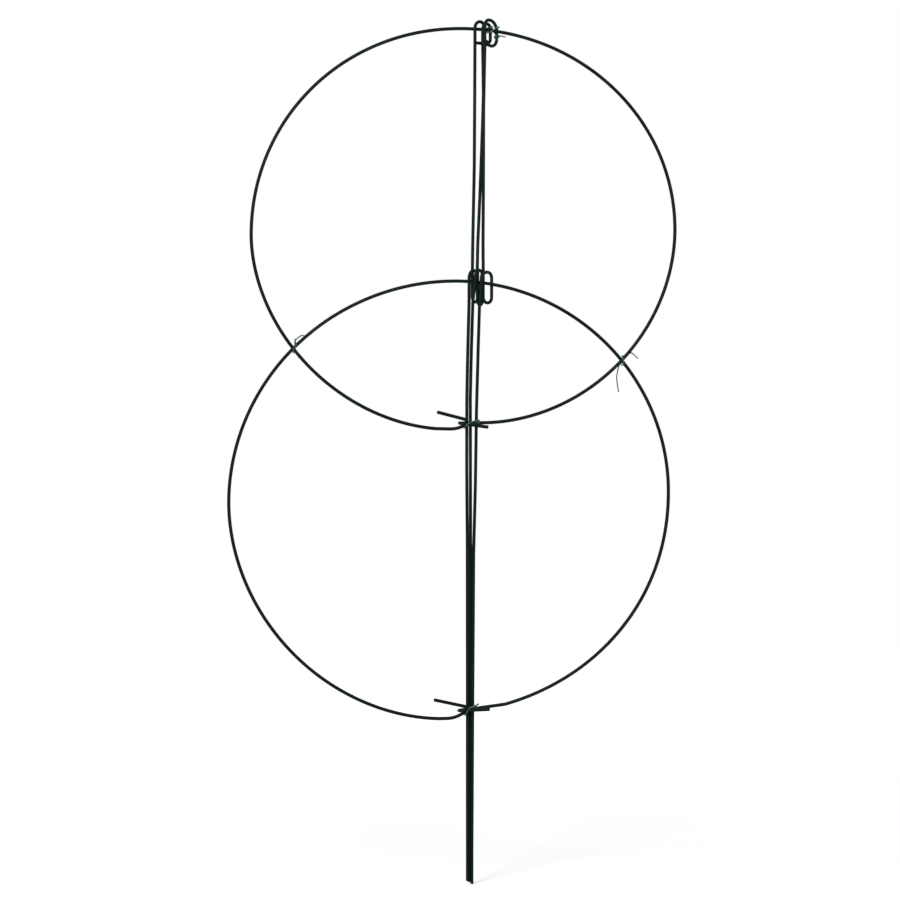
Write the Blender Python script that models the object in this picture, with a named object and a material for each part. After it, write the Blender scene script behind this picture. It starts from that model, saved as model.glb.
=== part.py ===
# Two-ring wire plant support, folded flat
# Three legs carry two open rings. Each leg is one wire with an eye at its top and an eye lower
# down, and the rings run through those eyes. Each ring's two ends are bent into hooks that hold
# each other, and thin tie wires keep the folded support together.
# Units are metres. Z points up the legs, X runs across the rings, and the front faces -Y.
# The origin is the middle of the right leg's cut foot.

import math

import bpy
from mathutils import Vector

# Wire
WIRE = 0.0032
RING_WIRE = 0.0035
TIE_WIRE = 0.0010
GAP = 0.0003
PITCH = RING_WIRE + GAP
BEND_STEP = math.radians(20)

# The rings hang at EYE_DEPTH in the legs' eyes and lean forward, so that their closures lie
# in front of the legs: the hairpin's back arm touches them, and the hook lies one wire ahead
EYE_DEPTH = 0.0040
CLOSURE_DEPTH = -1.5 * PITCH
HOOK_DEPTH = CLOSURE_DEPTH - PITCH / 2
HAIRPIN_DEPTH = CLOSURE_DEPTH + PITCH / 2
HINGE_X = 0.0100

# Rings: the outline's leftmost, highest and rightmost points, and the lowest points of its
# left and right arcs, as (x, z). A fullness of 2 makes that quarter a true ellipse.
TOP_RING = {
    "left": (-0.2332, 0.6860),
    "top": (-0.0122, 0.9045),
    "right": (0.2146, 0.6919),
    "low_left": (-0.0256, 0.4807),
    "low_right": (0.0106, 0.4875),
    "fullness": {"low_left": 1.88, "upper_left": 2.03, "upper_right": 2.01, "low_right": 1.95},
    "hook": {"arc_end": -0.0360, "rise": (-0.0157, 0.4808), "apex": (0.0009, 0.4890),
             "tail": (-0.0370, 0.4988)},
    "hairpin": {"arc_end": 0.0120, "run": (0.0040, 0.4874), "bend": (-0.0130, 0.4871),
                "tip": (0.0176, 0.4827)},
}
LOWER_RING = {
    "left": (-0.2569, 0.4032),
    "top": (-0.0176, 0.6374),
    "right": (0.2077, 0.4155),
    "low_left": (-0.0317, 0.1747),
    "low_right": (-0.0474, 0.1791),
    "fullness": {"low_left": 1.94, "upper_left": 1.99, "upper_right": 1.99, "low_right": 2.08},
    "hook": {"arc_end": -0.0330, "rise": (-0.0189, 0.1749), "apex": (0.0007, 0.1857),
             "tail": (-0.0384, 0.1940)},
    "hairpin": {"arc_end": 0.0300, "run": (0.0072, 0.1856), "bend": (-0.0140, 0.1831),
                "tip": (0.0191, 0.1846)},
}
QUARTER_STEPS = 22
HOOK_RADIUS = 0.0033
RISE_RADIUS = 0.0300
RUN_RADIUS = 0.0200

# Legs: the foot, the bends below the middle eye and those between the eyes, as (x, y, z).
# An eye stands at x on the ring. Its turn is how far it is swung from square to the ring.
# A middle eye's strands cross at its top: past is where the lower one goes by, and over is
# where it runs before it reaches the eye's flat, both as (along, off) that flat and the drop
# from the eye's top. A top eye's peak lies that far along its flat from the middle, and its cut
# end lies off that flat and above the eye's lowest point by its end values.
LEFT_LEG = {
    "foot": (-0.0046, 0.0, 0.0030),
    "lower": [(-0.0044, 0.0, 0.3600), (-0.0049, 0.0, 0.5000), (-0.0042, -0.0008, 0.5600),
              (-0.0028, -0.0010, 0.6140)],
    "middle_eye": {"x": 0.0032, "turn": 25, "half_width": 0.0050, "top": 0.6470, "low": 0.6150,
                   "past": (-0.0060, -0.0036, 0.0065), "over": (-0.0020, -0.0035, 0.0010),
                   "shoulder": 0.0045},
    "upper": [(0.0010, 0.0, 0.6750), (0.0030, 0.0, 0.8200)],
    "top_eye": {"x": 0.0086, "ahead": 0.0, "turn": 50, "half_width": 0.0063, "top": 0.9115,
                "low": 0.8887, "peak": 0.0008, "corner": 0.0030, "end": (0.0, 0.0005)},
}
MIDDLE_LEG = {
    "foot": (-0.0029, 0.0032, 0.0016),
    "lower": [(-0.0014, 0.0030, 0.2500), (-0.0013, 0.0026, 0.3600), (-0.0011, 0.0024, 0.4400),
              (-0.0007, 0.0014, 0.5400), (0.0012, -0.0052, 0.6150)],
    "middle_eye": {"x": 0.0086, "turn": 28, "half_width": 0.0060, "top": 0.6485, "low": 0.6121,
                   "past": (-0.0110, 0.0014, 0.0), "over": (-0.0062, 0.0037, 0.0),
                   "shoulder": 0.0080},
    "upper": [(0.0062, 0.0, 0.6750), (0.0102, 0.0, 0.7300), (0.0124, 0.0003, 0.8000),
              (0.0127, 0.0003, 0.8400)],
    "top_eye": {"x": 0.0161, "ahead": 0.0, "turn": 43, "half_width": 0.0060, "top": 0.9094,
                "low": 0.8885, "peak": 0.0008, "corner": 0.0040, "end": (0.0, 0.0010)},
}
RIGHT_LEG = {
    "foot": (0.0, 0.0, 0.0),
    "lower": [(0.0019, 0.0, 0.3500), (0.0043, 0.0, 0.4200), (0.0055, 0.0, 0.5000),
              (0.0071, 0.0, 0.5700), (0.0084, -0.0040, 0.6130)],
    "middle_eye": {"x": 0.0167, "turn": 51, "half_width": 0.0063, "top": 0.6470, "low": 0.6137,
                   "past": (-0.0116, 0.0036, 0.0020), "over": (-0.0060, 0.0036, 0.0),
                   "shoulder": 0.0100},
    "upper": [(0.0118, 0.0, 0.6750), (0.0122, -0.0038, 0.7400), (0.0124, -0.0038, 0.8200)],
    "top_eye": {"x": 0.0203, "ahead": 0.0022, "turn": 47, "half_width": 0.0086, "top": 0.9132,
                "low": 0.8846, "peak": -0.0026, "corner": 0.0050, "end": (0.0010, 0.0025)},
}
SPIKE = 0.0400
DRIFT_RADIUS = 0.0300
PASSING_RADIUS = 0.0025

# Tie wires, from one cut end to the other, as (x, y, z)
TOP_TIE = [
    (0.0203, 0.0056, 0.8998), (0.0202, 0.0030, 0.8993), (0.0204, 0.0008, 0.9002),
    (0.0214, -0.0006, 0.9018), (0.0234, -0.0008, 0.9034), (0.0254, -0.0004, 0.9048),
    (0.0272, 0.0012, 0.9062), (0.0284, 0.0044, 0.9064), (0.0294, 0.0080, 0.9043),
    (0.0284, 0.0106, 0.9018), (0.0260, 0.0104, 0.8998), (0.0240, 0.0084, 0.8982),
    (0.0242, 0.0057, 0.8973), (0.0262, 0.0048, 0.8970), (0.0290, 0.0045, 0.8967),
    (0.0325, 0.0042, 0.8961), (0.0359, 0.0040, 0.8955),
]
LEFT_TIE = [
    (-0.1899, 0.0062, 0.5602), (-0.1893, 0.0030, 0.5606), (-0.1892, -0.0040, 0.5608),
    (-0.1889, -0.0071, 0.5622), (-0.1878, -0.0076, 0.5658), (-0.1868, -0.0072, 0.5692),
    (-0.1868, -0.0046, 0.5716), (-0.1872, -0.0010, 0.5727), (-0.1873, 0.0024, 0.5729),
    (-0.1869, 0.0052, 0.5734), (-0.1860, 0.0050, 0.5746), (-0.1857, 0.0030, 0.5758),
    (-0.1846, 0.0012, 0.5770), (-0.1820, -0.0002, 0.5785), (-0.1794, -0.0008, 0.5797),
    (-0.1775, -0.0010, 0.5793), (-0.1760, -0.0010, 0.5782),
]
RIGHT_TIE = [
    (0.1754, 0.0000, 0.5553), (0.1720, 0.0014, 0.5590), (0.1680, 0.0025, 0.5612),
    (0.1630, 0.0042, 0.5612), (0.1592, 0.0040, 0.5592), (0.1586, 0.0000, 0.5587),
    (0.1586, -0.0040, 0.5584), (0.1586, -0.0054, 0.5565), (0.1586, -0.0057, 0.5535),
    (0.1586, -0.0054, 0.5502), (0.1586, -0.0038, 0.5488), (0.1586, 0.0010, 0.5485),
    (0.1580, 0.0044, 0.5477), (0.1560, 0.0042, 0.5455), (0.1540, 0.0028, 0.5410),
    (0.1532, 0.0012, 0.5358), (0.1537, 0.0000, 0.5284), (0.1551, -0.0005, 0.5197),
]
TOP_CLOSURE_TIE = [
    (-0.0079, 0.0062, 0.4815), (-0.0078, 0.0000, 0.4816), (-0.0077, -0.0106, 0.4819),
    (-0.0069, -0.0136, 0.4835), (-0.0038, -0.0140, 0.4864), (0.0006, -0.0140, 0.4890),
    (0.0056, -0.0136, 0.4901), (0.0077, -0.0106, 0.4903), (0.0081, 0.0000, 0.4903),
    (0.0082, 0.0062, 0.4904),
]
LOWER_CLOSURE_TIE = [
    (-0.0077, 0.0066, 0.1779), (-0.0076, 0.0000, 0.1781), (-0.0073, -0.0106, 0.1785),
    (-0.0061, -0.0136, 0.1804), (-0.0040, -0.0140, 0.1838), (-0.0014, -0.0140, 0.1868),
    (0.0022, -0.0140, 0.1880), (0.0052, -0.0136, 0.1891), (0.0068, -0.0106, 0.1897),
    (0.0070, 0.0000, 0.1898), (0.0071, 0.0066, 0.1898),
]
TIE_STEPS = 3

# Finishes: colour, roughness
LEG_COAT = ((0.012, 0.050, 0.036, 1.0), 0.38)
RING_COAT = ((0.010, 0.042, 0.030, 1.0), 0.36)
TIE_COAT = ((0.035, 0.190, 0.130, 1.0), 0.45)


def turned(arm, axis, angle):
    """Turn a vector about a unit axis by the right-hand rule."""
    along = axis * axis.dot(arm)
    across = arm - along
    return along + across * math.cos(angle) + axis.cross(across) * math.sin(angle)


def bent(corners):
    """Run straight between corners and bend round each to its own radius.

    corners holds (point, radius). A radius of 0 keeps that point.
    """
    route = []
    last = len(corners) - 1
    for index, (place, radius) in enumerate(corners):
        point = Vector(place)
        if index in (0, last) or radius == 0:
            route.append(point)
            continue
        back = (Vector(corners[index - 1][0]) - point).normalized()
        ahead = (Vector(corners[index + 1][0]) - point).normalized()
        turn = math.pi - back.angle(ahead)
        reach = radius * math.tan(turn / 2)
        centre = point + (back + ahead).normalized() * (radius / math.cos(turn / 2))
        arm = point + back * reach - centre
        axis = arm.cross(point + ahead * reach - centre).normalized()
        steps = max(1, round(turn / BEND_STEP))
        route += [centre + turned(arm, axis, turn * step / steps) for step in range(steps + 1)]
    return route


def smooth(points):
    """Read a smooth curve through the points."""
    points = [Vector(point) for point in points]
    points = [2 * points[0] - points[1]] + points + [2 * points[-1] - points[-2]]
    route = []
    for a, b, c, d in zip(points, points[1:], points[2:], points[3:]):
        for step in range(TIE_STEPS):
            t = step / TIE_STEPS
            curve = 2 * b + (c - a) * t + (2 * a - 5 * b + 4 * c - d) * t ** 2
            route.append((curve + (3 * b - a - 3 * c + d) * t ** 3) / 2)
    route.append(points[-2])
    return route


def quarter(side, cap, fullness):
    """Give a quarter oval's (x, z) points from its side extreme to its top or bottom extreme."""
    half_width = side[0] - cap[0]
    half_height = cap[1] - side[1]
    points = []
    for step in range(QUARTER_STEPS + 1):
        angle = math.pi / 2 * step / QUARTER_STEPS
        across = max(0.0, math.cos(angle)) ** (2 / fullness)
        up = math.sin(angle) ** (2 / fullness)
        points.append((cap[0] + half_width * across, side[1] + half_height * up))
    return points


def eye_height(ring):
    """Find how high the ring's wire is where its hinge axis crosses it."""
    fullness = ring["fullness"]["upper_right"]
    top = ring["top"]
    right = ring["right"]
    across = (HINGE_X - top[0]) / (right[0] - top[0])
    return right[1] + (top[1] - right[1]) * (1 - across ** fullness) ** (1 / fullness)


def lean(ring, point, side):
    """Set an outline point at its depth: the ring leans, and its arcs part at the closure."""
    x, z = point
    high = eye_height(ring)
    drop = (high - z) / (high - ring["hairpin"]["bend"][1])
    depth = EYE_DEPTH + (CLOSURE_DEPTH - EYE_DEPTH) * drop + side * PITCH / 2 * drop ** 3
    return (x, depth, z)


def hook(ring):
    """Bend the left arc's end back on itself, in the ring's plane."""
    shape = ring["hook"]
    rise, apex, tail = ((x, HOOK_DEPTH, z) for x, z in (shape["rise"], shape["apex"], shape["tail"]))
    return [(tail, 0), (apex, HOOK_RADIUS), (rise, RISE_RADIUS)]


def hairpin(ring):
    """Bend the right arc's end forward round the hook, to a short arm in front."""
    shape = ring["hairpin"]
    front = HAIRPIN_DEPTH - 2 * PITCH
    run = (shape["run"][0], HAIRPIN_DEPTH, shape["run"][1])
    back_bend = (shape["bend"][0], HAIRPIN_DEPTH, shape["bend"][1])
    front_bend = (shape["bend"][0], front, shape["bend"][1])
    tip = (shape["tip"][0], front, shape["tip"][1])
    return [(run, RUN_RADIUS), (back_bend, PITCH), (front_bend, PITCH), (tip, 0)]


def ring_route(ring):
    """Follow one ring's wire from its hook's tail, round the ring, to its hairpin's tip."""
    fullness = ring["fullness"]
    low_left = quarter(ring["left"], ring["low_left"], fullness["low_left"])
    upper_left = quarter(ring["left"], ring["top"], fullness["upper_left"])
    upper_right = quarter(ring["right"], ring["top"], fullness["upper_right"])
    low_right = quarter(ring["right"], ring["low_right"], fullness["low_right"])
    low_left = [point for point in low_left if point[0] < ring["hook"]["arc_end"]]
    low_right = [point for point in low_right if point[0] > ring["hairpin"]["arc_end"]]
    left = [(lean(ring, point, -1), 0) for point in low_left[:0:-1] + upper_left[:-1]]
    right = [(lean(ring, point, 1), 0) for point in upper_right[::-1] + low_right[1:]]
    return bent(hook(ring) + left + right + hairpin(ring))


def eye_place(eye, along, off, z):
    """Place a point of an eye: along its flat, off its flat, and at its height."""
    turn = math.radians(eye["turn"])
    x = eye["x"] + along * math.sin(turn) + off * math.cos(turn)
    y = EYE_DEPTH - eye.get("ahead", 0.0) + along * math.cos(turn) - off * math.sin(turn)
    return (x, y, z)


def middle_eye(eye):
    """Wind the leg once round the ring: over the top, down, round and up past itself."""
    half = eye["half_width"]
    top = eye["top"]
    low = eye["low"]
    past_along, past_off, past_drop = eye["past"]
    over_along, over_off, over_drop = eye["over"]
    return [
        (eye_place(eye, past_along, past_off, top - past_drop), PITCH),
        (eye_place(eye, over_along, over_off, top - over_drop), PASSING_RADIUS),
        (eye_place(eye, half - eye["shoulder"], 0.0, top), PASSING_RADIUS),
        (eye_place(eye, half, 0.0, top), eye["shoulder"] - WIRE / 2),
        (eye_place(eye, half, 0.0, low), half),
        (eye_place(eye, -half, 0.0, low), half),
        (eye_place(eye, -half, 0.0, top + WIRE), DRIFT_RADIUS),
    ]


def top_eye(eye):
    """Bend the leg's end over the ring and back, so that its cut face meets the leg."""
    half = eye["half_width"]
    top = eye["top"]
    low = eye["low"]
    end = -half + WIRE / 2 + GAP
    off, lift = eye["end"]
    return [
        (eye_place(eye, -half, 0.0, low), DRIFT_RADIUS),
        (eye_place(eye, -half, 0.0, top), half + eye["peak"]),
        (eye_place(eye, half, 0.0, top), half - eye["peak"]),
        (eye_place(eye, half, 0.0, low), eye["corner"]),
        (eye_place(eye, end, off, low + lift), 0),
    ]


def leg_route(leg):
    """Follow one leg's wire from its foot to the cut end in its top eye."""
    x, y, z = leg["foot"]
    corners = [(leg["foot"], 0), ((x, y, z + SPIKE), DRIFT_RADIUS)]
    corners += [(point, DRIFT_RADIUS) for point in leg["lower"]]
    corners += middle_eye(leg["middle_eye"])
    corners += [(point, DRIFT_RADIUS) for point in leg["upper"]]
    corners += top_eye(leg["top_eye"])
    return bent(corners)


def coat(name, finish):
    """Make the material of one wire's plastic coat."""
    colour, roughness = finish
    material = bpy.data.materials.new(name)
    material.use_nodes = True
    shader = material.node_tree.nodes["Principled BSDF"]
    shader.inputs["Base Color"].default_value = colour
    shader.inputs["Roughness"].default_value = roughness
    shader.inputs["Metallic"].default_value = 0.0
    material.diffuse_color = colour
    return material


def wire(name, route, thickness, roundness, finish, carrier, collection):
    """Make one wire along a route as a tube with closed ends, carried by an empty."""
    curve = bpy.data.curves.new(name, "CURVE")
    curve.dimensions = "3D"
    curve.bevel_depth = thickness / 2
    curve.bevel_resolution = roundness
    curve.use_fill_caps = True
    spline = curve.splines.new("POLY")
    spline.points.add(len(route) - 1)
    for point, place in zip(spline.points, route):
        point.co = (*(place - carrier.location), 1.0)
    curve.materials.append(coat(name + "_coat", finish))
    piece = bpy.data.objects.new(name, curve)
    piece.parent = carrier
    collection.objects.link(piece)
    return piece


def carrier(name, place, collection):
    """Make an empty that carries wires which move together."""
    empty = bpy.data.objects.new(name, None)
    empty.location = place
    empty.empty_display_size = 0.02
    collection.objects.link(empty)
    return empty


def main():
    for thing in list(bpy.data.objects):
        bpy.data.objects.remove(thing, do_unlink=True)
    parts = bpy.data.collections.new("plant_support")
    bpy.context.scene.collection.children.link(parts)

    stand = carrier("stand", (0.0, 0.0, 0.0), parts)
    top_hinge = carrier("top_ring_axis", (HINGE_X, EYE_DEPTH, eye_height(TOP_RING)), parts)
    lower_hinge = carrier("lower_ring_axis", (HINGE_X, EYE_DEPTH, eye_height(LOWER_RING)), parts)

    for name, leg in (("left_leg", LEFT_LEG), ("middle_leg", MIDDLE_LEG), ("right_leg", RIGHT_LEG)):
        wire(name, leg_route(leg), WIRE, 3, LEG_COAT, stand, parts)
    wire("top_ring", ring_route(TOP_RING), RING_WIRE, 3, RING_COAT, top_hinge, parts)
    wire("lower_ring", ring_route(LOWER_RING), RING_WIRE, 3, RING_COAT, lower_hinge, parts)

    ties = (
        ("top_eye_tie", TOP_TIE, stand),
        ("left_crossing_tie", LEFT_TIE, top_hinge),
        ("right_crossing_tie", RIGHT_TIE, top_hinge),
        ("top_closure_tie", TOP_CLOSURE_TIE, top_hinge),
        ("lower_closure_tie", LOWER_CLOSURE_TIE, lower_hinge),
    )
    for name, points, holder in ties:
        wire(name, smooth(points), TIE_WIRE, 1, TIE_COAT, holder, parts)


if __name__ == "__main__":
    main()
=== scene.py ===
# %% [markdown]
# # A folding wire plant support
# The real support is five lengths of steel wire in a dark green plastic coat. Two are bent into
# open hoops, and three into legs whose eyes hold the hoops. Thin tie wires keep it flat.
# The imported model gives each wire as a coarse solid, with ten sides, or six on a tie. This
# lesson bends every wire again at its solid's place, set a little closer to the photograph. It
# gets an even round skin, domed ends and a coat like the real one.

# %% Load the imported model
import math

import bmesh
import bpy
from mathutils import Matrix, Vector, kdtree, noise


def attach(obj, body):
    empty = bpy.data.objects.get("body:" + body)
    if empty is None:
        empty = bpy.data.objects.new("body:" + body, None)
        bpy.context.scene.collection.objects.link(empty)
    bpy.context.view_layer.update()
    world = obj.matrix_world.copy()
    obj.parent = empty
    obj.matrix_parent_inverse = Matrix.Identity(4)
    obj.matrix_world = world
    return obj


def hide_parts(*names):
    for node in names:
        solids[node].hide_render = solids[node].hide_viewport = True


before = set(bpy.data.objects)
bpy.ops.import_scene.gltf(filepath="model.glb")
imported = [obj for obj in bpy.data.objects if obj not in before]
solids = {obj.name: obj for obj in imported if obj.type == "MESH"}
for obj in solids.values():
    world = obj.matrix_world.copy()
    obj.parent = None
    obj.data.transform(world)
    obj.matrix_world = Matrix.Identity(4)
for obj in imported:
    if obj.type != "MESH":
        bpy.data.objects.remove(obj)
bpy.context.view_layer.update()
print("packed wires:", ", ".join(sorted(solids)))

# %% [markdown]
# ## The camera
# The photograph looks straight at the front of the folded support, from far enough away that
# near and far wires look equally thick. An orthographic camera would make them exactly so, but
# a long lens keeps the slight perspective of a real picture. Its length follows from the
# distance and from the width that the picture takes in at the legs.

# %% Set up the camera
CAMERA_DISTANCE = 5.0
VIEW_WIDTH = 0.9513
VIEW_CENTRE = (-0.0231, 0.4587)
SENSOR_WIDTH = 36.0

lens = bpy.data.cameras.new("camera")
lens.sensor_width = SENSOR_WIDTH
lens.lens = SENSOR_WIDTH * CAMERA_DISTANCE / VIEW_WIDTH
camera = bpy.data.objects.new("camera", lens)
camera.location = (VIEW_CENTRE[0], -CAMERA_DISTANCE, VIEW_CENTRE[1])
camera.rotation_euler = (math.radians(90), 0, 0)
bpy.context.scene.collection.objects.link(camera)
bpy.context.scene.camera = camera
bpy.context.scene.view_settings.view_transform = "Standard"
print("lens in mm:", round(lens.lens, 1))

# %% [markdown]
# ## Helpers for node trees
# Every finish below is a small tree of shader nodes. Two helpers keep the trees short: one adds
# a node and sets its values, and one joins an output to an input. A third tells the rays that
# show the background from those that light the wires.


# %% Helpers for node trees
def add_node(tree, kind, **values):
    """Add a node, with its settings as plain names and its inputs in a dict called inputs."""
    node = tree.nodes.new(kind)
    inputs = values.pop("inputs", {})
    for name, value in values.items():
        setattr(node, name, value)
    for name, value in inputs.items():
        node.inputs[name].default_value = value
    return node


def join(tree, source, output, target, socket):
    """Join one node's output to another node's input."""
    tree.links.new(source.outputs[output], target.inputs[socket])


def seen_directly(tree):
    """Give 1 for rays that show the background itself or its reflection, and 0 for light."""
    path = add_node(tree, "ShaderNodeLightPath")
    either = add_node(tree, "ShaderNodeMath", operation="MAXIMUM")
    join(tree, path, "Is Camera Ray", either, 0)
    join(tree, path, "Is Glossy Ray", either, 1)
    every = add_node(tree, "ShaderNodeMath", operation="MAXIMUM")
    join(tree, either, 0, every, 0)
    join(tree, path, "Is Transmission Ray", every, 1)
    return every


print("node helpers:", add_node.__name__, join.__name__, seen_directly.__name__)

# %% [markdown]
# ## The studio
# The photograph's ground is pure white. A picture of a studio could light the scene, but thin
# wires hardly show its shapes, so a plain world does. It is white wherever it is seen, and
# lights the wires more softly than that, so that lamps can draw a thin bright line along them.

# %% Light the world
SKY_LIGHT = 0.55

world = bpy.data.worlds.new("studio")
world.use_nodes = True
sky = world.node_tree
sky.nodes.clear()
soft = add_node(sky, "ShaderNodeBackground", inputs={"Color": (1, 1, 1, 1), "Strength": SKY_LIGHT})
white = add_node(sky, "ShaderNodeBackground", inputs={"Color": (1, 1, 1, 1), "Strength": 1.0})
choice = add_node(sky, "ShaderNodeMixShader")
join(sky, seen_directly(sky), 0, choice, 0)
join(sky, soft, 0, choice, 1)
join(sky, white, 0, choice, 2)
join(sky, choice, 0, add_node(sky, "ShaderNodeOutputWorld"), 0)
bpy.context.scene.world = world
print("sky light:", SKY_LIGHT)

# %% [markdown]
# ## The lamps
# The wires in the photograph have a dull light line along them, as a large soft light near the
# camera gives. Point lamps would make hard sparks on wires as thin as these. So two area lamps
# are hung, a strong one in front and a weak one at the side. Both aim at the middle.

# %% Hang two soft lamps
AIM = Vector((VIEW_CENTRE[0], 0.0, VIEW_CENTRE[1]))
LAMPS = {
    "key_lamp": {"place": (-0.9, -3.3, 1.7), "size": 0.7, "power": 85.0},
    "fill_lamp": {"place": (2.4, -1.6, 0.9), "size": 1.6, "power": 18.0},
}

for name, lamp in LAMPS.items():
    light = bpy.data.lights.new(name, "AREA")
    light.size = lamp["size"]
    light.energy = lamp["power"]
    hung = bpy.data.objects.new(name, light)
    hung.location = lamp["place"]
    hung.rotation_euler = (AIM - Vector(lamp["place"])).to_track_quat("-Z", "Y").to_euler()
    bpy.context.scene.collection.objects.link(hung)
    print(name, "is", round((AIM - Vector(lamp["place"])).length, 2), "m away")

# %% [markdown]
# ## The floor
# The support stands on one large square, which takes shadows as a pale floor does. Where it is
# seen it also has a little glow of its own. An even glow would be simpler, but the lamps reach
# less of the floor further out, and it would turn grey there. So the glow grows outwards, and
# the floor ends in pure white.

# %% Lay the floor
FLOOR_HEIGHT = -0.0005
FLOOR_REACH = 6.0
FLOOR_COLOUR = (0.82, 0.82, 0.82, 1.0)
# Each holds a distance from the middle of the floor, and how strongly it glows there
GLOW_NEAR = (0.3, 0.34)
GLOW_FAR = (3.0, 0.62)

floor_mesh = bmesh.new()
bmesh.ops.create_grid(floor_mesh, x_segments=1, y_segments=1, size=FLOOR_REACH)
bmesh.ops.translate(floor_mesh, verts=floor_mesh.verts[:], vec=(0, 0, FLOOR_HEIGHT))
floor_data = bpy.data.meshes.new("floor")
floor_mesh.to_mesh(floor_data)
floor_mesh.free()
floor = bpy.data.objects.new("floor", floor_data)
bpy.context.scene.collection.objects.link(floor)

floor_finish = bpy.data.materials.new("floor_finish")
floor_finish.use_nodes = True
tree = floor_finish.node_tree
tree.nodes.clear()
matt = add_node(tree, "ShaderNodeBsdfDiffuse", inputs={"Color": FLOOR_COLOUR})
floor_point = add_node(tree, "ShaderNodeTexCoord")
distance = add_node(tree, "ShaderNodeVectorMath", operation="LENGTH")
join(tree, floor_point, "Object", distance, 0)
outward = add_node(
    tree,
    "ShaderNodeMapRange",
    inputs={
        "From Min": GLOW_NEAR[0],
        "From Max": GLOW_FAR[0],
        "To Min": GLOW_NEAR[1],
        "To Max": GLOW_FAR[1],
    },
)
join(tree, distance, "Value", outward, "Value")
glow = add_node(tree, "ShaderNodeEmission")
join(tree, outward, 0, glow, "Strength")
glowing = add_node(tree, "ShaderNodeAddShader")
join(tree, matt, 0, glowing, 0)
join(tree, glow, 0, glowing, 1)
choice = add_node(tree, "ShaderNodeMixShader")
join(tree, seen_directly(tree), 0, choice, 0)
join(tree, matt, 0, choice, 1)
join(tree, glowing, 0, choice, 2)
join(tree, choice, 0, add_node(tree, "ShaderNodeOutputMaterial"), 0)
floor_data.materials.append(floor_finish)
print("floor lies at", FLOOR_HEIGHT)

# %% [markdown]
# ## Wire bent round pins
# A wire former bends wire round pins: straight from corner to corner, and round each corner to
# its pin's radius. One smooth curve through all the corners would be shorter to write, but it
# would leave the straight runs wavy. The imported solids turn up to 20 degrees at a time. Here
# the same corners are taken in steps of 5 degrees, so that a bend looks round from close by.

# %% Bend a wire round its corners
WIRE = 0.0032
RING_WIRE = 0.0035
GAP = 0.0003
PITCH = RING_WIRE + GAP
BEND_STEP = math.radians(5)


def turned(arm, axis, angle):
    """Turn a vector about a unit axis by the right-hand rule."""
    along = axis * axis.dot(arm)
    across = arm - along
    return along + across * math.cos(angle) + axis.cross(across) * math.sin(angle)


def bent(corners):
    """Run straight between corners and bend round each to its own radius.

    corners holds (point, radius). A radius of 0 keeps that point.
    """
    route = []
    last = len(corners) - 1
    for index, (place, radius) in enumerate(corners):
        point = Vector(place)
        if index in (0, last) or radius == 0:
            route.append(point)
            continue
        back = (Vector(corners[index - 1][0]) - point).normalized()
        ahead = (Vector(corners[index + 1][0]) - point).normalized()
        turn = math.pi - back.angle(ahead)
        reach = radius * math.tan(turn / 2)
        centre = point + (back + ahead).normalized() * (radius / math.cos(turn / 2))
        arm = point + back * reach - centre
        axis = arm.cross(point + ahead * reach - centre).normalized()
        steps = max(1, round(turn / BEND_STEP))
        route += [centre + turned(arm, axis, turn * step / steps) for step in range(steps + 1)]
    return route


print("bends turn", round(math.degrees(BEND_STEP)), "degrees a step")

# %% [markdown]
# ## The hoops' outlines
# A hoop hangs from the eyes and is pulled slightly oval by its own weight. Its outline is four
# quarters of an oval, each between two of its outermost points. A quarter's fullness tells how
# square its shoulder is: 2 is a true ellipse. The hoop leans forward as it goes down, so that
# its closure lies in front of the legs.

# %% Shape a quarter of a hoop
EYE_DEPTH = 0.0040
CLOSURE_DEPTH = -1.5 * PITCH
HOOK_DEPTH = CLOSURE_DEPTH - PITCH / 2
HAIRPIN_DEPTH = CLOSURE_DEPTH + PITCH / 2
HINGE_X = 0.0100
PARTING_POWER = 3
QUARTER_STEPS = 110


def quarter(side, cap, fullness):
    """Give a quarter oval's (x, z) points from its side extreme to its top or bottom extreme."""
    half_width = side[0] - cap[0]
    half_height = cap[1] - side[1]
    points = []
    for step in range(QUARTER_STEPS + 1):
        angle = math.pi / 2 * step / QUARTER_STEPS
        across = max(0.0, math.cos(angle)) ** (2 / fullness)
        up = math.sin(angle) ** (2 / fullness)
        points.append((cap[0] + half_width * across, side[1] + half_height * up))
    return points


def eye_height(ring):
    """Find how high the ring's wire is where its hinge axis crosses it."""
    fullness = ring["fullness"]["upper_right"]
    top = ring["top"]
    right = ring["right"]
    across = (HINGE_X - top[0]) / (right[0] - top[0])
    return right[1] + (top[1] - right[1]) * (1 - across ** fullness) ** (1 / fullness)


def lean(ring, point, side):
    """Set an outline point at its depth: the ring leans, and its arcs part at the closure."""
    x, z = point
    high = eye_height(ring)
    drop = (high - z) / (high - ring["hairpin"]["bend"][1])
    leaning = EYE_DEPTH + (CLOSURE_DEPTH - EYE_DEPTH) * drop
    return (x, leaning + side * PITCH / 2 * drop ** PARTING_POWER, z)


print("a quarter has", QUARTER_STEPS, "steps")

# %% [markdown]
# ## The closures
# A hoop is closed by its own two ends. One is bent back on itself into a hook, and the other
# goes forward round it as a hairpin. They hold each other as long as the hoop is under tension.
# Both are given as the real ends are bent, by a few corners and the radius of the pin at each.

# %% Bend the hook and the hairpin
HOOK_RADIUS = 0.0033
RISE_RADIUS = 0.0300
RUN_RADIUS = 0.0200


def hook(ring):
    """Bend the left arc's end back on itself, in the ring's plane."""
    shape = ring["hook"]
    corners = (shape["rise"], shape["apex"], shape["tail"])
    rise, apex, tail = ((x, HOOK_DEPTH, z) for x, z in corners)
    return [(tail, 0), (apex, HOOK_RADIUS), (rise, RISE_RADIUS)]


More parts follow.
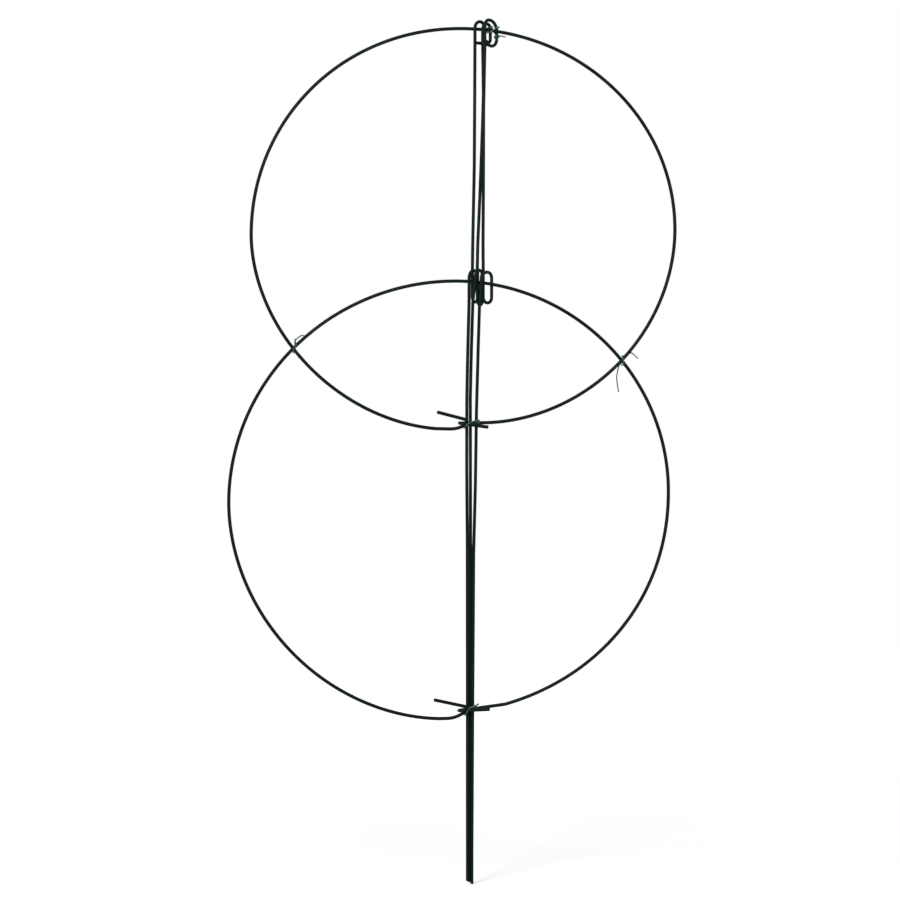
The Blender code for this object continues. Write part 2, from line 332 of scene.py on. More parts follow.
def hairpin(ring):
    """Bend the right arc's end forward round the hook, to a short arm in front."""
    shape = ring["hairpin"]
    front = HAIRPIN_DEPTH - 2 * PITCH
    run = (shape["run"][0], HAIRPIN_DEPTH, shape["run"][1])
    back_bend = (shape["bend"][0], HAIRPIN_DEPTH, shape["bend"][1])
    front_bend = (shape["bend"][0], front, shape["bend"][1])
    tip = (shape["tip"][0], front, shape["tip"][1])
    return [(run, RUN_RADIUS), (back_bend, PITCH), (front_bend, PITCH), (tip, 0)]


hook_lead = round((HAIRPIN_DEPTH - HOOK_DEPTH) * 1000, 1)
print("the hook lies", hook_lead, "mm ahead of the hairpin's back arm")

# %% [markdown]
# ## Both hoops' measures
# A torus would be a hoop in one step, but a perfectly round one, and without ends. Here each
# hoop has its own measures, read off the photograph: where it is outermost, how full its
# quarters are, and where its ends bend. The same steps then follow both.

# %% Follow the two hoops
TOP_RING = {
    "left": (-0.2332, 0.6860),
    "top": (-0.0122, 0.9045),
    "right": (0.2146, 0.6919),
    "low_left": (-0.0256, 0.4807),
    "low_right": (0.0106, 0.4875),
    "fullness": {"low_left": 1.88, "upper_left": 2.03, "upper_right": 2.01, "low_right": 1.95},
    "hook": {"arc_end": -0.0360, "rise": (-0.0157, 0.4808), "apex": (0.0009, 0.4890),
             "tail": (-0.0370, 0.4988)},
    "hairpin": {"arc_end": 0.0120, "run": (0.0040, 0.4874), "bend": (-0.0130, 0.4871),
                "tip": (0.0176, 0.4827)},
}
LOWER_RING = {
    "left": (-0.2569, 0.4032),
    "top": (-0.0176, 0.6374),
    "right": (0.2077, 0.4155),
    "low_left": (-0.0317, 0.1752),
    "low_right": (-0.0474, 0.1791),
    "fullness": {"low_left": 1.93, "upper_left": 1.99, "upper_right": 1.99, "low_right": 2.08},
    "hook": {"arc_end": -0.0330, "rise": (-0.0189, 0.1756), "apex": (0.0007, 0.1864),
             "tail": (-0.0404, 0.1951)},
    "hairpin": {"arc_end": 0.0340, "run": (0.0072, 0.1863), "bend": (-0.0136, 0.1838),
                "tip": (0.0191, 0.1852)},
}


def ring_route(ring):
    """Follow one ring's wire from its hook's tail, round the ring, to its hairpin's tip."""
    fullness = ring["fullness"]
    low_left = quarter(ring["left"], ring["low_left"], fullness["low_left"])
    upper_left = quarter(ring["left"], ring["top"], fullness["upper_left"])
    upper_right = quarter(ring["right"], ring["top"], fullness["upper_right"])
    low_right = quarter(ring["right"], ring["low_right"], fullness["low_right"])
    low_left = [point for point in low_left if point[0] < ring["hook"]["arc_end"]]
    low_right = [point for point in low_right if point[0] > ring["hairpin"]["arc_end"]]
    left = [(lean(ring, point, -1), 0) for point in low_left[:0:-1] + upper_left[:-1]]
    right = [(lean(ring, point, 1), 0) for point in upper_right[::-1] + low_right[1:]]
    return bent(hook(ring) + left + right + hairpin(ring))


routes = {"top_ring": ring_route(TOP_RING), "lower_ring": ring_route(LOWER_RING)}
print("hoop routes have", [len(route) for route in routes.values()], "points")

# %% [markdown]
# ## The legs' eyes
# A leg comes up from its spike, winds once round the lower hoop and passes itself, goes on up,
# and ends bent over the upper hoop, so that its cut end meets the leg. Each eye is flat and
# stands across its hoop, swung a little, as the three legs lie side by side. A coil from a
# formula would be round, and these eyes have straight sides, so they are given by corners too.

# %% Bend the eyes
SPIKE = 0.0400
DRIFT_RADIUS = 0.0300
PASSING_RADIUS = 0.0025


def eye_place(eye, along, off, z):
    """Place a point of an eye: along its flat, off its flat, and at its height."""
    turn = math.radians(eye["turn"])
    x = eye["x"] + along * math.sin(turn) + off * math.cos(turn)
    y = EYE_DEPTH - eye.get("ahead", 0.0) + along * math.cos(turn) - off * math.sin(turn)
    return (x, y, z)


def middle_eye(eye):
    """Wind the leg once round the ring: over the top, down, round and up past itself."""
    half = eye["half_width"]
    top = eye["top"]
    low = eye["low"]
    past_along, past_off, past_drop = eye["past"]
    over_along, over_off, over_drop = eye["over"]
    return [
        (eye_place(eye, past_along, past_off, top - past_drop), PITCH),
        (eye_place(eye, over_along, over_off, top - over_drop), PASSING_RADIUS),
        (eye_place(eye, half - eye["shoulder"], 0.0, top), PASSING_RADIUS),
        (eye_place(eye, half, 0.0, top), eye["shoulder"] - WIRE / 2),
        (eye_place(eye, half, 0.0, low), half),
        (eye_place(eye, -half, 0.0, low), half),
        (eye_place(eye, -half, 0.0, top + WIRE), DRIFT_RADIUS),
    ]


def top_eye(eye):
    """Bend the leg's end over the ring and back, so that its cut face meets the leg."""
    half = eye["half_width"]
    top = eye["top"]
    low = eye["low"]
    end = -half + WIRE / 2 + GAP
    off, lift = eye["end"]
    return [
        (eye_place(eye, -half, 0.0, low), DRIFT_RADIUS),
        (eye_place(eye, -half, 0.0, top), half + eye["peak"]),
        (eye_place(eye, half, 0.0, top), half - eye["peak"]),
        (eye_place(eye, half, 0.0, low), eye["corner"]),
        (eye_place(eye, end, off, low + lift), 0),
    ]


def leg_route(leg):
    """Follow one leg's wire from its foot to the cut end in its top eye."""
    x, y, z = leg["foot"]
    corners = [(leg["foot"], 0), ((x, y, z + SPIKE), DRIFT_RADIUS)]
    corners += [(point, DRIFT_RADIUS) for point in leg["lower"]]
    corners += middle_eye(leg["middle_eye"])
    corners += [(point, DRIFT_RADIUS) for point in leg["upper"]]
    corners += top_eye(leg["top_eye"])
    return bent(corners)


print("a leg goes straight up for", SPIKE * 1000, "mm, and then follows its bends")

# %% [markdown]
# ## The three legs' measures
# One leg copied twice would be quicker, but the real ones are bent by hand, and no two are
# alike. Each leg has its own foot, the points that it drifts through below and above its middle
# eye, and the place, turn and size of both eyes.

# %% Follow the three legs
LEFT_LEG = {
    "foot": (-0.0046, 0.0, 0.0030),
    "lower": [(-0.0048, 0.0, 0.3600), (-0.0054, 0.0, 0.4400), (-0.0053, 0.0, 0.5150),
              (-0.0044, -0.0008, 0.5600), (-0.0030, -0.0010, 0.6140)],
    "middle_eye": {"x": 0.0034, "turn": 32, "half_width": 0.0053, "top": 0.6484, "low": 0.6152,
                   "past": (-0.0065, -0.0034, 0.0065), "over": (-0.0025, -0.0038, 0.0010),
                   "shoulder": 0.0045},
    "upper": [(0.0009, 0.0, 0.6750), (0.0026, 0.0, 0.7600), (0.0030, 0.0, 0.8300)],
    "top_eye": {"x": 0.0081, "ahead": 0.0, "turn": 50, "half_width": 0.0063, "top": 0.9118,
                "low": 0.8887, "peak": 0.0008, "corner": 0.0030, "end": (0.0, 0.0005)},
}
MIDDLE_LEG = {
    "foot": (-0.0029, 0.0032, 0.0016),
    "lower": [(-0.0014, 0.0030, 0.2500), (-0.0014, 0.0026, 0.3600), (-0.0015, 0.0024, 0.4400),
              (-0.0016, 0.0020, 0.5150), (-0.0006, 0.0008, 0.5600), (0.0010, -0.0052, 0.6150)],
    "middle_eye": {"x": 0.0086, "turn": 28, "half_width": 0.0060, "top": 0.6485, "low": 0.6121,
                   "past": (-0.0110, 0.0014, 0.0), "over": (-0.0062, 0.0037, 0.0),
                   "shoulder": 0.0080},
    "upper": [(0.0062, 0.0, 0.6750), (0.0086, 0.0, 0.7300), (0.0112, 0.0003, 0.8000),
              (0.0122, 0.0003, 0.8350)],
    "top_eye": {"x": 0.0155, "ahead": 0.0, "turn": 43, "half_width": 0.0060, "top": 0.9094,
                "low": 0.8885, "peak": 0.0008, "corner": 0.0032, "end": (0.0, 0.0040)},
}
RIGHT_LEG = {
    "foot": (0.0, 0.0, 0.0),
    "lower": [(0.0019, 0.0, 0.3500), (0.0037, 0.0, 0.4200), (0.0049, 0.0, 0.5000),
              (0.0068, 0.0, 0.5700), (0.0081, -0.0040, 0.6130)],
    "middle_eye": {"x": 0.0165, "turn": 47, "half_width": 0.0061, "top": 0.6468, "low": 0.6143,
                   "past": (-0.0117, 0.0036, 0.0020), "over": (-0.0040, 0.0040, 0.0),
                   "shoulder": 0.0075},
    "upper": [(0.0118, 0.0, 0.6750), (0.0122, -0.0038, 0.7400), (0.0124, -0.0038, 0.8200)],
    "top_eye": {"x": 0.0200, "ahead": 0.0022, "turn": 47, "half_width": 0.0086, "top": 0.9132,
                "low": 0.8841, "peak": -0.0026, "corner": 0.0078, "end": (0.0010, 0.0030)},
}

LEGS = {"left_leg": LEFT_LEG, "middle_leg": MIDDLE_LEG, "right_leg": RIGHT_LEG}
for node, leg in LEGS.items():
    routes[node] = leg_route(leg)
    print(node, "has", len(routes[node]), "points")

# %% [markdown]
# ## The tie wires
# A tie is soft thin wire, put round by hand, so it has no true bends. A simulated string would
# find a way of its own. A smooth curve through a few points keeps to the real one's. It is open
# at the back, where a real one is cut before the support is unfolded, so that the hoops can
# swing out of it. On three ties the second end shows too: it is twisted round the first one
# and cut short.

# %% Follow the ties
TIE_STEPS = 8
WINDING_STEP = 45


def smooth(points):
    """Read a smooth curve through the points."""
    points = [Vector(point) for point in points]
    points = [2 * points[0] - points[1]] + points + [2 * points[-1] - points[-2]]
    route = []
    for a, b, c, d in zip(points, points[1:], points[2:], points[3:]):
        for step in range(TIE_STEPS):
            t = step / TIE_STEPS
            curve = 2 * b + (c - a) * t + (2 * a - 5 * b + 4 * c - d) * t ** 2
            route.append((curve + (3 * b - a - 3 * c + d) * t ** 3) / 2)
    route.append(points[-2])
    return route


def wound(strand, reach, marks):
    """Wind round an upright strand at (x, y), through marks of (degrees, height)."""
    points = []
    for (start, low), (stop, high) in zip(marks, marks[1:]):
        steps = round(abs(stop - start) / WINDING_STEP)
        for step in range(steps):
            angle = math.radians(start + (stop - start) * step / steps)
            height = low + (high - low) * step / steps
            x = strand[0] + reach * math.cos(angle)
            y = strand[1] + reach * math.sin(angle)
            points.append((x, y, height))
    return points


EYE_STRAND = (0.0263, 0.0077)
EYE_REACH = 0.0026
EYE_MARKS = [(-45, 0.9066), (90, 0.9050), (260, 0.8978), (980, 0.8947)]
TOP_TIE = [
    (0.0152, -0.0012, 0.9040), (0.0168, -0.0012, 0.9048), (0.0186, -0.0010, 0.9056),
    (0.0204, 0.0002, 0.9063), (0.0218, 0.0036, 0.9065), (0.0222, 0.0076, 0.9054),
    (0.0211, 0.0108, 0.9049), (0.0188, 0.0113, 0.9051), (0.0166, 0.0112, 0.9045),
    (0.0158, 0.0098, 0.9022), (0.0162, 0.0078, 0.9004), (0.0171, 0.0044, 0.8999),
    (0.0181, 0.0010, 0.9000), (0.0195, -0.0006, 0.9006), (0.0211, -0.0009, 0.9015),
    (0.0232, -0.0010, 0.9028), (0.0252, -0.0008, 0.9042), (0.0268, 0.0004, 0.9062),
] + wound(EYE_STRAND, EYE_REACH, EYE_MARKS) + [
    (0.0260, 0.0050, 0.8947), (0.0278, 0.0040, 0.8950), (0.0294, 0.0038, 0.8960),
    (0.0308, 0.0040, 0.8967), (0.0330, 0.0042, 0.8962), (0.0358, 0.0044, 0.8955),
]
LEFT_TIE = [
    (-0.1881, 0.0058, 0.5612), (-0.1881, 0.0020, 0.5614), (-0.1885, -0.0040, 0.5614),
    (-0.1889, -0.0072, 0.5626), (-0.1879, -0.0077, 0.5660), (-0.1869, -0.0073, 0.5692),
    (-0.1870, -0.0046, 0.5716), (-0.1874, -0.0010, 0.5727), (-0.1875, 0.0024, 0.5731),
    (-0.1870, 0.0050, 0.5738), (-0.1863, 0.0044, 0.5748), (-0.1856, 0.0026, 0.5758),
    (-0.1836, 0.0010, 0.5775), (-0.1812, -0.0002, 0.5791), (-0.1792, -0.0008, 0.5798),
    (-0.1779, -0.0010, 0.5796), (-0.1768, -0.0010, 0.5790),
]
LEFT_SPUR = [
    (-0.1868, -0.0012, 0.5670), (-0.1860, -0.0016, 0.5688), (-0.1857, -0.0040, 0.5704),
    (-0.1860, -0.0054, 0.5720), (-0.1864, -0.0042, 0.5736), (-0.1867, -0.0032, 0.5748),
    (-0.1873, -0.0030, 0.5763),
]
RIGHT_TIE = [
    (0.1757, 0.0000, 0.5552), (0.1727, 0.0010, 0.5582), (0.1700, 0.0014, 0.5606),
    (0.1680, 0.0016, 0.5614), (0.1655, 0.0016, 0.5602), (0.1632, 0.0016, 0.5584),
    (0.1610, 0.0014, 0.5578), (0.1594, 0.0000, 0.5582), (0.1589, -0.0030, 0.5583),
    (0.1590, -0.0052, 0.5570), (0.1596, -0.0058, 0.5544), (0.1598, -0.0058, 0.5517),
    (0.1602, -0.0051, 0.5494), (0.1600, -0.0030, 0.5482), (0.1595, 0.0000, 0.5481),
    (0.1585, 0.0030, 0.5486), (0.1570, 0.0045, 0.5496), (0.1556, 0.0042, 0.5482),
    (0.1547, 0.0030, 0.5450), (0.1540, 0.0018, 0.5414), (0.1532, 0.0012, 0.5365),
    (0.1533, 0.0004, 0.5320), (0.1540, 0.0000, 0.5270), (0.1550, -0.0005, 0.5199),
]
TOP_CLOSURE_TIE = [
    (-0.0085, 0.0062, 0.4815), (-0.0084, 0.0000, 0.4816), (-0.0079, -0.0106, 0.4817),
    (-0.0069, -0.0136, 0.4833), (-0.0038, -0.0141, 0.4862), (0.0006, -0.0141, 0.4886),
    (0.0054, -0.0137, 0.4897), (0.0076, -0.0106, 0.4902), (0.0081, 0.0000, 0.4903),
    (0.0082, 0.0062, 0.4904),
]
TOP_CLOSURE_SPUR = [
    (0.0036, -0.0140, 0.4880), (0.0044, -0.0151, 0.4886), (0.0055, -0.0149, 0.4900),
    (0.0064, -0.0136, 0.4905), (0.0073, -0.0125, 0.4892), (0.0074, -0.0134, 0.4877),
    (0.0067, -0.0146, 0.4872), (0.0060, -0.0151, 0.4879),
]
LOWER_CLOSURE_TIE = [
    (-0.0080, 0.0066, 0.1784), (-0.0079, 0.0000, 0.1786), (-0.0075, -0.0106, 0.1789),
    (-0.0062, -0.0138, 0.1808), (-0.0042, -0.0142, 0.1842), (-0.0016, -0.0142, 0.1872),
    (0.0022, -0.0141, 0.1887), (0.0052, -0.0137, 0.1898), (0.0068, -0.0106, 0.1904),
    (0.0070, 0.0000, 0.1905), (0.0071, 0.0066, 0.1905),
]
LOWER_CLOSURE_SPUR = [
    (0.0010, -0.0140, 0.1868), (0.0016, -0.0153, 0.1880), (0.0024, -0.0146, 0.1897),
    (0.0034, -0.0130, 0.1891), (0.0041, -0.0140, 0.1880), (0.0048, -0.0150, 0.1892),
    (0.0055, -0.0140, 0.1906), (0.0063, -0.0136, 0.1909),
]

TIES = {
    "top_eye_tie": TOP_TIE,
    "left_crossing_tie": LEFT_TIE,
    "right_crossing_tie": RIGHT_TIE,
    "top_closure_tie": TOP_CLOSURE_TIE,
    "lower_closure_tie": LOWER_CLOSURE_TIE,
}
SPURS = {
    "left_crossing_tie": LEFT_SPUR,
    "top_closure_tie": TOP_CLOSURE_SPUR,
    "lower_closure_tie": LOWER_CLOSURE_SPUR,
}
routes.update({node: smooth(points) for node, points in TIES.items()})
spurs = {node: smooth(points) for node, points in SPURS.items()}
print("routes:", len(routes), "and second ends:", len(spurs))

# %% [markdown]
# ## Even steps
# A long straight run has no points of its own. It gets some, because the skin's slight
# unevenness needs them. Where two points nearly meet, one goes.
# A dark wire on white looks thinner in a picture than it is. So each skin is up to 0.16 mm
# thicker in radius than its solid, and still stays clear of the other wires.

# %% Step evenly along the routes
LENGTH_STEP = 0.0030
CLOSEST = 0.0001
WIRE_RADIUS = 0.00175
RING_RADIUS = 0.00184
TIE_RADIUS = 0.00066


def stepped(route):
    """Add points to long runs, and drop points that nearly meet."""
    line = [route[0]]
    for place in route[1:]:
        gap = (place - line[-1]).length
        if gap < CLOSEST:
            continue
        steps = math.ceil(gap / LENGTH_STEP)
        start = line[-1]
        line += [start.lerp(place, step / steps) for step in range(1, steps + 1)]
    return line


lines = {node: stepped(route) for node, route in routes.items()}
KINDS = {"leg": WIRE_RADIUS, "ring": RING_RADIUS, "tie": TIE_RADIUS}
radius_of = {node: KINDS[node.split("_")[-1]] for node in lines}
for node, line in lines.items():
    length = sum((b - a).length for a, b in zip(line, line[1:]))
    print(node, "is", round(length * 1000, 1), "mm long")

# %% [markdown]
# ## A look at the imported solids
# The skins stand for the solids, so they have to end where these do. Looking at both can't tell
# that to a millimetre. A search tree over a solid's corners can: about half a wire's thickness
# is a good match. To follow the photograph, the lower hoop's tail is 2 mm longer, and the left
# crossing tie starts 2 mm off. The top eye tie starts elsewhere, because its skin begins with a
# turn round the middle leg's eye that its solid doesn't have.

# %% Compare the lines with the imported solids
for node, line in lines.items():
    corners = kdtree.KDTree(len(solids[node].data.vertices))
    for index, corner in enumerate(solids[node].data.vertices):
        corners.insert(corner.co, index)
    corners.balance()
    ends = [corners.find(line[0])[2], corners.find(line[-1])[2]]
    print(node, "ends", [round(gap * 1000, 2) for gap in ends], "mm from the solid's corners")

# %% [markdown]
# ## A straight wire, then bent
# The real wire is drawn straight, dipped in plastic and bent afterwards. The skin is made in
# the same order. A circle is extruded along Z into a straight tube, which is cut into rings, and
# each point keeps that straight place as an attribute. Then every ring is carried to its place
# on the bent line. The coat's pattern reads the straight place, so it follows every bend.

# %% Stations along a wire
DOME = 0.0009
DOME_RINGS = 5
DOME_FIRST = 0.35
DOME_POWER = 2.3


def stations(line, radius):
    """List a wire's rings as (place, distance, size), with smaller ones for its domed ends."""
    distances = [0.0]
    for a, b in zip(line, line[1:]):
        distances.append(distances[-1] + (b - a).length)
    length = distances[-1]
    dome = DOME * radius / WIRE_RADIUS
    domed = []
    for step in range(DOME_RINGS):
        angle = math.pi / 2 * (step + DOME_FIRST) / DOME_RINGS
        inset = dome * (1 - math.cos(angle) ** (2 / DOME_POWER))
        domed.append((inset, math.sin(angle) ** (2 / DOME_POWER)))
    even = [(distance, 1.0) for distance in distances if dome < distance < length - dome]
    rings = domed + even + [(length - inset, size) for inset, size in domed[::-1]]
    return [(at_distance(line, distances, distance), distance, size) for distance, size in rings]


def at_distance(line, distances, distance):
    """Find the point at a distance along a line."""
    for index in range(1, len(line)):
        if distances[index] >= distance:
            break
    share = (distance - distances[index - 1]) / (distances[index] - distances[index - 1])
    return line[index - 1].lerp(line[index], share)


print("a dome is", DOME * 1000, "mm high")

# %% [markdown]
# ## Which way a ring faces
# Each ring of the skin stands square to the line. That still leaves it free to turn about the
# line. If each chose for itself, the drawn lines in the coat would wind round the wire. So every
# ring takes its neighbour's direction, and only leans with the line.

# %% Carry a square frame along a wire
def carried_frames(places):
    """Give (forward, side, up) at each place, turning no more than the line does."""
    frames = []
    side = None
    for index, place in enumerate(places):
        before = places[max(0, index - 1)]
        after = places[min(len(places) - 1, index + 1)]
        forward = (after - before).normalized()
        if side is None:
            side = forward.orthogonal().normalized()
        side = (side - forward * side.dot(forward)).normalized()
        frames.append((forward, side, forward.cross(side)))
    return frames


print("frames along the left leg:", len(carried_frames(lines["left_leg"])))

# %% [markdown]
# ## The straight tube
# A curve with a round bevel would give a tube at once, but its points wouldn't know their
# place on the straight wire, and its ends would be flat. A mesh can carry that place. A circle
# is pulled out along Z, and its long edges are cut, so that every ring is known by its height.

# %% Extrude the straight tube
def straight_tube(count, sides):
    """Extrude a unit circle into a tube of rings 1 apart, and give the mesh and its rings."""
    mesh = bmesh.new()
    mesh.verts.layers.float_vector.new("straight")
    mesh.verts.layers.float.new("strain")
    mesh.verts.layers.float.new("rub")
    bmesh.ops.create_circle(mesh, segments=sides, radius=1.0)
    made = bmesh.ops.extrude_edge_only(mesh, edges=mesh.edges[:])["geom"]
    far = [part for part in made if isinstance(part, bmesh.types.BMVert)]
    bmesh.ops.translate(mesh, verts=far, vec=(0, 0, count - 1))
    upright = [edge for edge in mesh.edges if edge.verts[0].co.z != edge.verts[1].co.z]
    bmesh.ops.subdivide_edges(mesh, edges=upright, cuts=count - 2, use_grid_fill=True)
    bmesh.ops.holes_fill(mesh, edges=mesh.edges[:], sides=0)
    rings = [[] for _ in range(count)]
    for corner in mesh.verts:
        rings[round(corner.co.z)].append(corner)
    return mesh, rings


print("the longest wire needs", max(len(line) for line in lines.values()), "rings or so")

# %% [markdown]
# ## Where wires rub
# The coat is rubbed smooth where two wires touch. Every face could be held against every other
# one, but a search tree of all centre lines is far quicker. A point rubs where another wire's
# centre line is hardly further away than that wire's radius.

# %% Find where wires rub
def touch_points():
    """Put every wire's centre line in one search tree, with the wire and its radius."""
    entries = [(place, node) for node, line in lines.items() for place in line]
    tree = kdtree.KDTree(len(entries))
    for index, (place, _) in enumerate(entries):
        tree.insert(place, index)
    tree.balance()
    return tree, [node for _, node in entries]


RUB_REACH = 0.0009
touch_tree, touch_owner = touch_points()


def rubbing(node, corner):
    """Tell how near another wire is: 1 where it touches, and 0 beyond the reach."""
    nearest = 1.0
    for place, index, gap in touch_tree.find_range(corner, RING_RADIUS + RUB_REACH):
        owner = touch_owner[index]
        if owner != node:
            nearest = min(nearest, (gap - radius_of[owner]) / RUB_REACH)
    return 1.0 - max(0.0, nearest)


print("centre points to search:", len(touch_owner))

# %% [markdown]
# ## Bending the tube
# Every ring is carried to its station and turned into its frame. Each point keeps its straight
# place, how far the bend stretches the coat there, and how much it is rubbed. A dipped coat is
# never quite even, and a little noise in the radius shows it in the outline, as bump wouldn't.

# %% Bend the tube into the wire
LUMP = 0.014
LUMP_ALONG = 180.0
LUMP_ROUND = 2.0


def bent_wire(node, line, radius, sides):
    """Make one wire as a round skin along its line, with its attributes for the coat."""
    rings_to_make = stations(line, radius)
    places = [place for place, _, _ in rings_to_make]
    frames = carried_frames(places)
    mesh, rings = straight_tube(len(places), sides)
    straight = mesh.verts.layers.float_vector["straight"]
    strain = mesh.verts.layers.float["strain"]
    rub = mesh.verts.layers.float["rub"]
    for index, (ring, (place, distance, size)) in enumerate(zip(rings, rings_to_make)):
        forward, side, up = frames[index]
        before, after = max(0, index - 1), min(len(places) - 1, index + 1)
        run = max((places[after] - places[before]).length, radius)
        curl = (frames[after][0] - frames[before][0]) / run
        for corner in ring:
            x, y = corner.co.x, corner.co.y
            sample = Vector((x * LUMP_ROUND, y * LUMP_ROUND, distance * LUMP_ALONG))
            lump = 1 + LUMP * noise.noise(sample)
            arm = (side * x + up * y) * size
            corner[straight] = Vector((x * size * radius, y * size * radius, distance))
            corner[strain] = -curl.dot(arm) * radius
            corner.co = place + arm * (radius * lump)
            corner[rub] = rubbing(node, corner.co)
    bmesh.ops.recalc_face_normals(mesh, faces=mesh.faces[:])
    for face in mesh.faces:
        face.smooth = True
    return mesh


def finished(name, meshes):
    """Join the skins into one object that lies in the scene."""
    data = bpy.data.meshes.new(name)
    whole = meshes[0]
    for mesh in meshes[1:]:
        mesh.to_mesh(data)
        whole.from_mesh(data)
    whole.to_mesh(data)
    for mesh in meshes:
        mesh.free()
    piece = bpy.data.objects.new(name, data)
    bpy.context.scene.collection.objects.link(piece)
    return piece


print("a wire is even to", round(LUMP * 100, 1), "percent of its radius")

# %% [markdown]
# ## The plastic coat
# The coat is a thin skin of dark green plastic, dull on the thick wires and glossier on the
# ties. Close to, it has a fine uneven surface from cooling, faint lines drawn along the wire,
# and a few dull scuffs. It goes paler where the wire is bent hard, and is rubbed smooth where
# wires touch. A painted picture could show all that, but it would need an unwrapped wire, and
# blur close by. Noise that reads each point's straight place runs along the wire and stays
# sharp.

# %% Read patterns and mix colours
COLOUR_A = 6
COLOUR_B = 7
COLOUR_RESULT = 2


def noise_on(tree, space, scale, grain, roughness, detail=3.0):
    """Read a noise on the straight wire, stretched by a scale for each direction."""
    stretch = [step * grain for step in scale]
    mapping = add_node(tree, "ShaderNodeMapping", inputs={"Scale": stretch})
    join(tree, space, "Vector", mapping, "Vector")
    pattern = add_node(
        tree, "ShaderNodeTexNoise", inputs={"Scale": 1.0, "Detail": detail, "Roughness": roughness}
    )
    join(tree, mapping, 0, pattern, "Vector")
    return pattern


def between(tree, source, output, given, wanted):
    """Map a value from one (low, high) range to another, and keep it inside."""
    ranged = add_node(
        tree,
        "ShaderNodeMapRange",
        inputs={
            "From Min": given[0],
            "From Max": given[1],
            "To Min": wanted[0],
            "To Max": wanted[1],
        },
    )
    join(tree, source, output, ranged, "Value")
    return ranged


def scaled_and_added(tree, source, output, factor, addend):
    """Multiply a value by a factor, and add another node's value."""
    sum_node = add_node(tree, "ShaderNodeMath", operation="MULTIPLY_ADD", inputs={1: factor})
    join(tree, source, output, sum_node, 0)
    join(tree, addend, 0, sum_node, 2)
    return sum_node


def colour_mix(tree, factor, first, second):
    """Mix two colours, each given as a plain colour or as a node's colour output."""
    mix = add_node(tree, "ShaderNodeMix", data_type="RGBA")
    tree.links.new(factor.outputs[0], mix.inputs["Factor"])
    for socket, colour in ((COLOUR_A, first), (COLOUR_B, second)):
        if isinstance(colour, tuple):
            mix.inputs[socket].default_value = colour
        else:
            tree.links.new(colour.outputs[COLOUR_RESULT], mix.inputs[socket])
    return mix


print("mixed colours come out of socket", COLOUR_RESULT)

# %% [markdown]
# ## One recipe for three coats
# Legs, hoops and ties are coated alike, so one function makes all three materials. Cloudy
# noise mixes two greens, stretched noise gives the drawn lines, and fine noise the pores. The
# colours, the gloss, the roughness and the fineness differ: ties are greener and glossier.

# %% Make a coat
PLASTIC_IOR = 1.5
CLOUD_SCALE = (300, 300, 35)
CLOUD_RANGE = (0.35, 0.65)
DRAWN_SCALE = (2600, 2600, 14)
DRAWN_DEPTH = 0.00005
DRAWN_STRENGTH = 0.25
PORE_SCALE = (1500, 1500, 1100)
PORE_RANGE = (0.3, 0.7)
PORE_DEPTH = 0.00006
PORE_STRENGTH = 0.5
PORE_SMOOTHS = 0.06
PORE_ROUGHENS = 0.08
SCUFF_SCALE = (1900, 1900, 60)
SCUFF_RANGE = (0.66, 0.80)
SCUFF_PALEST = 0.5
SCUFF_ROUGHENS = 0.35
RUB_ROUGHENS = -0.10
STRAIN_RANGE = (0.06, 0.40)
STRAIN_PALEST = 0.55


def coat(name, deep, pale, strained, roughness, gloss, grain):
    """Make one plastic coat. grain is how fine its pattern is beside the leg wire's."""
    material = bpy.data.materials.new(name)
    material.use_nodes = True
    tree = material.node_tree
    shader = tree.nodes["Principled BSDF"]
    shader.inputs["IOR"].default_value = PLASTIC_IOR
    shader.inputs["Specular IOR Level"].default_value = gloss
    space = add_node(tree, "ShaderNodeAttribute", attribute_name="straight")
    strain = add_node(tree, "ShaderNodeAttribute", attribute_name="strain")
    rub = add_node(tree, "ShaderNodeAttribute", attribute_name="rub")

    clouds = noise_on(tree, space, CLOUD_SCALE, grain, 0.5)
    drawn = noise_on(tree, space, DRAWN_SCALE, grain, 0.6, 2.0)
    pores = noise_on(tree, space, PORE_SCALE, grain, 0.55)
    scuffs = noise_on(tree, space, SCUFF_SCALE, grain, 0.7, 4.0)

    clouded = between(tree, clouds, "Fac", CLOUD_RANGE, (0.0, 1.0))
    base = colour_mix(tree, clouded, deep, pale)
    pulled = between(tree, strain, "Fac", STRAIN_RANGE, (0.0, STRAIN_PALEST))
    stretched = colour_mix(tree, pulled, base, strained)
    scuffed = between(tree, scuffs, "Fac", SCUFF_RANGE, (0.0, SCUFF_PALEST))
    worn = colour_mix(tree, scuffed, stretched, strained)
    tree.links.new(worn.outputs[COLOUR_RESULT], shader.inputs["Base Color"])

    spread = (roughness - PORE_SMOOTHS, roughness + PORE_ROUGHENS)
    dull = between(tree, pores, "Fac", PORE_RANGE, spread)
    duller = scaled_and_added(tree, scuffed, 0, SCUFF_ROUGHENS, dull)
    polished = scaled_and_added(tree, rub, "Fac", RUB_ROUGHENS, duller)
    join(tree, polished, 0, shader, "Roughness")

    lines_drawn = add_node(
        tree,
        "ShaderNodeBump",
        inputs={"Strength": DRAWN_STRENGTH, "Distance": DRAWN_DEPTH / grain},
    )
    join(tree, drawn, "Fac", lines_drawn, "Height")
    peel = add_node(
        tree,
        "ShaderNodeBump",
        inputs={"Strength": PORE_STRENGTH, "Distance": PORE_DEPTH / grain},
    )
    join(tree, pores, "Fac", peel, "Height")
    join(tree, lines_drawn, 0, peel, "Normal")
    join(tree, peel, 0, shader, "Normal")
    return material


